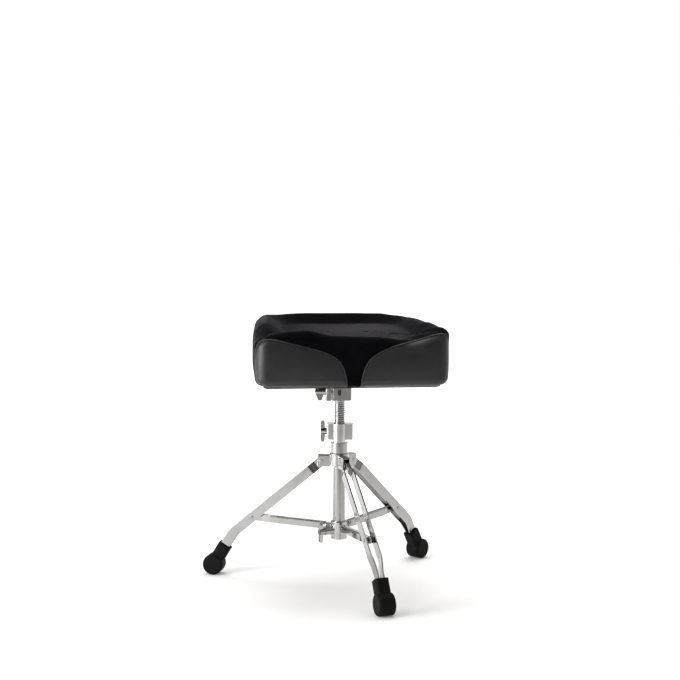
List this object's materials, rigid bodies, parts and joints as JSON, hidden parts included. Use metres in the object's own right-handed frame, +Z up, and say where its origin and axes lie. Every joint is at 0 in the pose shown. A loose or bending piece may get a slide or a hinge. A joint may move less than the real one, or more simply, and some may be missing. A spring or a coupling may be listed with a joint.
{
  "type": "drum throne",
  "caption": "Drum throne with a wide padded saddle seat on a threaded height spindle, over a chromed folding tripod of double steel strips with braces and rubber feet.",
  "frame": {"origin": "on the column's axis at floor level", "axes": "+Z up the column, -Y towards the seat's front, +X to the right of a person looking at that front"},
  "size_m": [0.5636, 0.5383, 0.6079],
  "materials": {
    "chrome": "bright chrome plate with a soft reflection",
    "bare_steel": "zinc-plated steel",
    "black_steel": "black painted steel",
    "black_plastic": "matt black nylon",
    "rubber": "matt black rubber",
    "board": "plain plywood",
    "velour": "black velour with a pale sheen at grazing angles",
    "vinyl": "black leather-grained vinyl with a low gloss"
  },
  "bodies": {
    "column": {"base_tube": "chrome", "tube_plug": "black_plastic", "hub_ring": "chrome", "hub_lug_1": "chrome", "hub_lug_2": "chrome", "hub_lug_3": "chrome", "hub_pins": "chrome", "nut_sleeve": "chrome", "spindle_nut": "bare_steel", "sleeve_key": "bare_steel", "upper_clamp": "chrome", "clamp_nut": "chrome", "upper_washer": "chrome"},
    "upper_wing": {"upper_wing_bolt": "chrome"},
    "collar": {"lower_collar": "chrome", "collar_pins": "chrome", "collar_washer": "chrome"},
    "collar_wing": {"collar_wing_bolt": "chrome"},
    "guide": {"spindle_guide": "black_plastic"},
    "seat": {"spindle": "bare_steel", "bracket_block": "chrome", "bracket_jaw": "chrome", "seat_plate": "black_steel", "seat_screws": "bare_steel", "seat_board": "board", "seat_cushion": "velour", "side_panel_left": "vinyl", "side_panel_right": "vinyl"},
    "bracket_wing": {"bracket_wing_bolt": "chrome"},
    "leg_1": {"leg_strip_left_1": "chrome", "leg_strip_right_1": "chrome", "leg_rivets_1": "chrome", "foot_spacer_1": "bare_steel", "rubber_foot_1": "rubber"},
    "brace_1": {"brace_1": "chrome", "brace_spacers_1": "black_plastic", "brace_pin_1": "bare_steel"},
    "leg_2": {"leg_strip_left_2": "chrome", "leg_strip_right_2": "chrome", "leg_rivets_2": "chrome", "foot_spacer_2": "bare_steel", "rubber_foot_2": "rubber"},
    "brace_2": {"brace_2": "chrome", "brace_spacers_2": "black_plastic", "brace_pin_2": "bare_steel"},
    "leg_3": {"leg_strip_left_3": "chrome", "leg_strip_right_3": "chrome", "leg_rivets_3": "chrome", "foot_spacer_3": "bare_steel", "rubber_foot_3": "rubber"},
    "brace_3": {"brace_3": "chrome", "brace_spacers_3": "black_plastic", "brace_pin_3": "bare_steel"}
  },
  "joints": [
    {"name": "leg_fold_1", "type": "hinge", "parent": "column", "child": "leg_1", "pos_m": [-0.03787, 0.01378, 0.2778], "axis": [-0.342, -0.9397, 0], "range_deg": [0, 45]},
    {"name": "leg_fold_2", "type": "hinge", "parent": "column", "child": "leg_2", "pos_m": [0.007, -0.03969, 0.2778], "axis": [0.9848, 0.1736, 0], "range_deg": [-0.05, 45.05]},
    {"name": "leg_fold_3", "type": "hinge", "parent": "column", "child": "leg_3", "pos_m": [0.03087, 0.0259, 0.2778], "axis": [-0.6428, 0.766, 0], "range_deg": [-0.05, 45.05]},
    {"name": "collar_slide", "type": "slide", "parent": "column", "child": "collar", "axis": [0, 0, 1], "range_m": [-0.0001, 0.10236]},
    {"name": "brace_fold_1", "type": "hinge", "parent": "collar", "child": "brace_1", "pos_m": [-0.03383, 0.01231, 0.129], "axis": [-0.342, -0.9397, 0], "range_deg": [-0.1, 86.15]},
    {"name": "brace_fold_2", "type": "hinge", "parent": "collar", "child": "brace_2", "pos_m": [0.00625, -0.03545, 0.129], "axis": [0.9848, 0.1736, 0], "range_deg": [-0.1, 86.15]},
    {"name": "brace_fold_3", "type": "hinge", "parent": "collar", "child": "brace_3", "pos_m": [0.02758, 0.02314, 0.129], "axis": [-0.6428, 0.766, 0], "range_deg": [-0.1, 86.15]},
    {"name": "seat_lift", "type": "slide", "parent": "column", "child": "guide", "axis": [0, 0, 1], "range_m": [-0.0452, 0.0852]},
    {"name": "seat_turn", "type": "hinge", "parent": "guide", "child": "seat", "pos_m": [0, 0, 0.44], "axis": [0, 0, 1], "range_deg": [-3240, 6120]},
    {"name": "upper_wing_turn", "type": "hinge", "parent": "column", "child": "upper_wing", "pos_m": [-0.02749, 0.02207, 0.345], "axis": [-0.9877, 0.1564, 0], "range_deg": [0, 720]},
    {"name": "collar_wing_turn", "type": "hinge", "parent": "collar", "child": "collar_wing", "pos_m": [-0.0377, -0.01758, 0.1195], "axis": [-0.9063, -0.4226, 0], "range_deg": [0, 720]},
    {"name": "bracket_wing_turn", "type": "hinge", "parent": "seat", "child": "bracket_wing", "pos_m": [-0.0345, 0, 0.4395], "axis": [-1, 0, 0], "range_deg": [0, 720]}
  ],
  "couplings": [
    {"joint": "leg_fold_2", "follows": "leg_fold_1", "ratio": 1},
    {"joint": "leg_fold_3", "follows": "leg_fold_1", "ratio": 1},
    {"joint": "collar_slide", "follows": "leg_fold_1", "m_per_rad": 0.13021},
    {"joint": "brace_fold_1", "follows": "leg_fold_1", "ratio": 1.9122},
    {"joint": "brace_fold_2", "follows": "leg_fold_1", "ratio": 1.9122},
    {"joint": "brace_fold_3", "follows": "leg_fold_1", "ratio": 1.9122},
    {"joint": "seat_lift", "follows": "seat_turn", "m_per_rad": 0.00079577}
  ]
}
